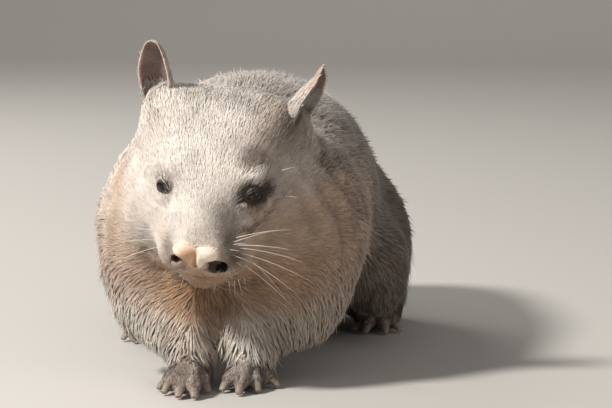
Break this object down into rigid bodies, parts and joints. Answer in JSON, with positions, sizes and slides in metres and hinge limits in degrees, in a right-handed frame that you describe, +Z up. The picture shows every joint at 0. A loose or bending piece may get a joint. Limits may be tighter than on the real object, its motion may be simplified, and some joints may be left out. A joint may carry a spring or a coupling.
{
  "type": "southern hairy-nosed wombat, life-size model",
  "caption": "Life-size still model of a hairy-nosed wombat, crouched low on its four feet with its head forward, ears up and blunt claws on the ground.",
  "frame": {"origin": "on the floor, under the middle of the animal's bounding box", "axes": "+Z up, the nose points along -Y, +X is the animal's left side"},
  "size_m": [0.3596, 0.6912, 0.357],
  "materials": {
    "fur_body": "short dense grizzled coat, silver grey mottled with dark grey-brown",
    "fur_face": "short soft coat, pale cream on the forehead, ochre on the cheeks and chin",
    "fur_leg": "longer hanging cream and tan hair over dark grey-brown feet",
    "ear_skin": "thin grey-mauve skin with a pale pink rim and fine short hair",
    "nose_skin": "bare pinkish tan pad with fine short down and dark nostrils",
    "eye": "moist dark brown, almost black",
    "claw": "worn grey horn with fine growth rings"
  },
  "bodies": {
    "root": {"claw_fore_left_1": "claw", "claw_fore_left_2": "claw", "claw_fore_left_3": "claw", "claw_fore_left_4": "claw", "claw_fore_left_5": "claw", "claw_fore_right_1": "claw", "claw_fore_right_2": "claw", "claw_fore_right_3": "claw", "claw_fore_right_4": "claw", "claw_fore_right_5": "claw", "claw_hind_left_1": "claw", "claw_hind_left_2": "claw", "claw_hind_left_3": "claw", "claw_hind_left_4": "claw", "claw_hind_right_1": "claw", "claw_hind_right_2": "claw", "claw_hind_right_3": "claw", "claw_hind_right_4": "claw", "ear_left": "ear_skin", "ear_right": "ear_skin", "eye_left": "eye", "eye_right": "eye", "forefoot_left": "fur_leg", "forefoot_right": "fur_leg", "foreleg_left": "fur_leg", "foreleg_right": "fur_leg", "head": "fur_face", "hindfoot_left": "fur_body", "hindfoot_right": "fur_body", "hindleg_left": "fur_body", "hindleg_right": "fur_body", "neck": "fur_body", "nose": "nose_skin", "tail": "fur_body", "torso": "fur_body"}
  },
  "joints": []
}
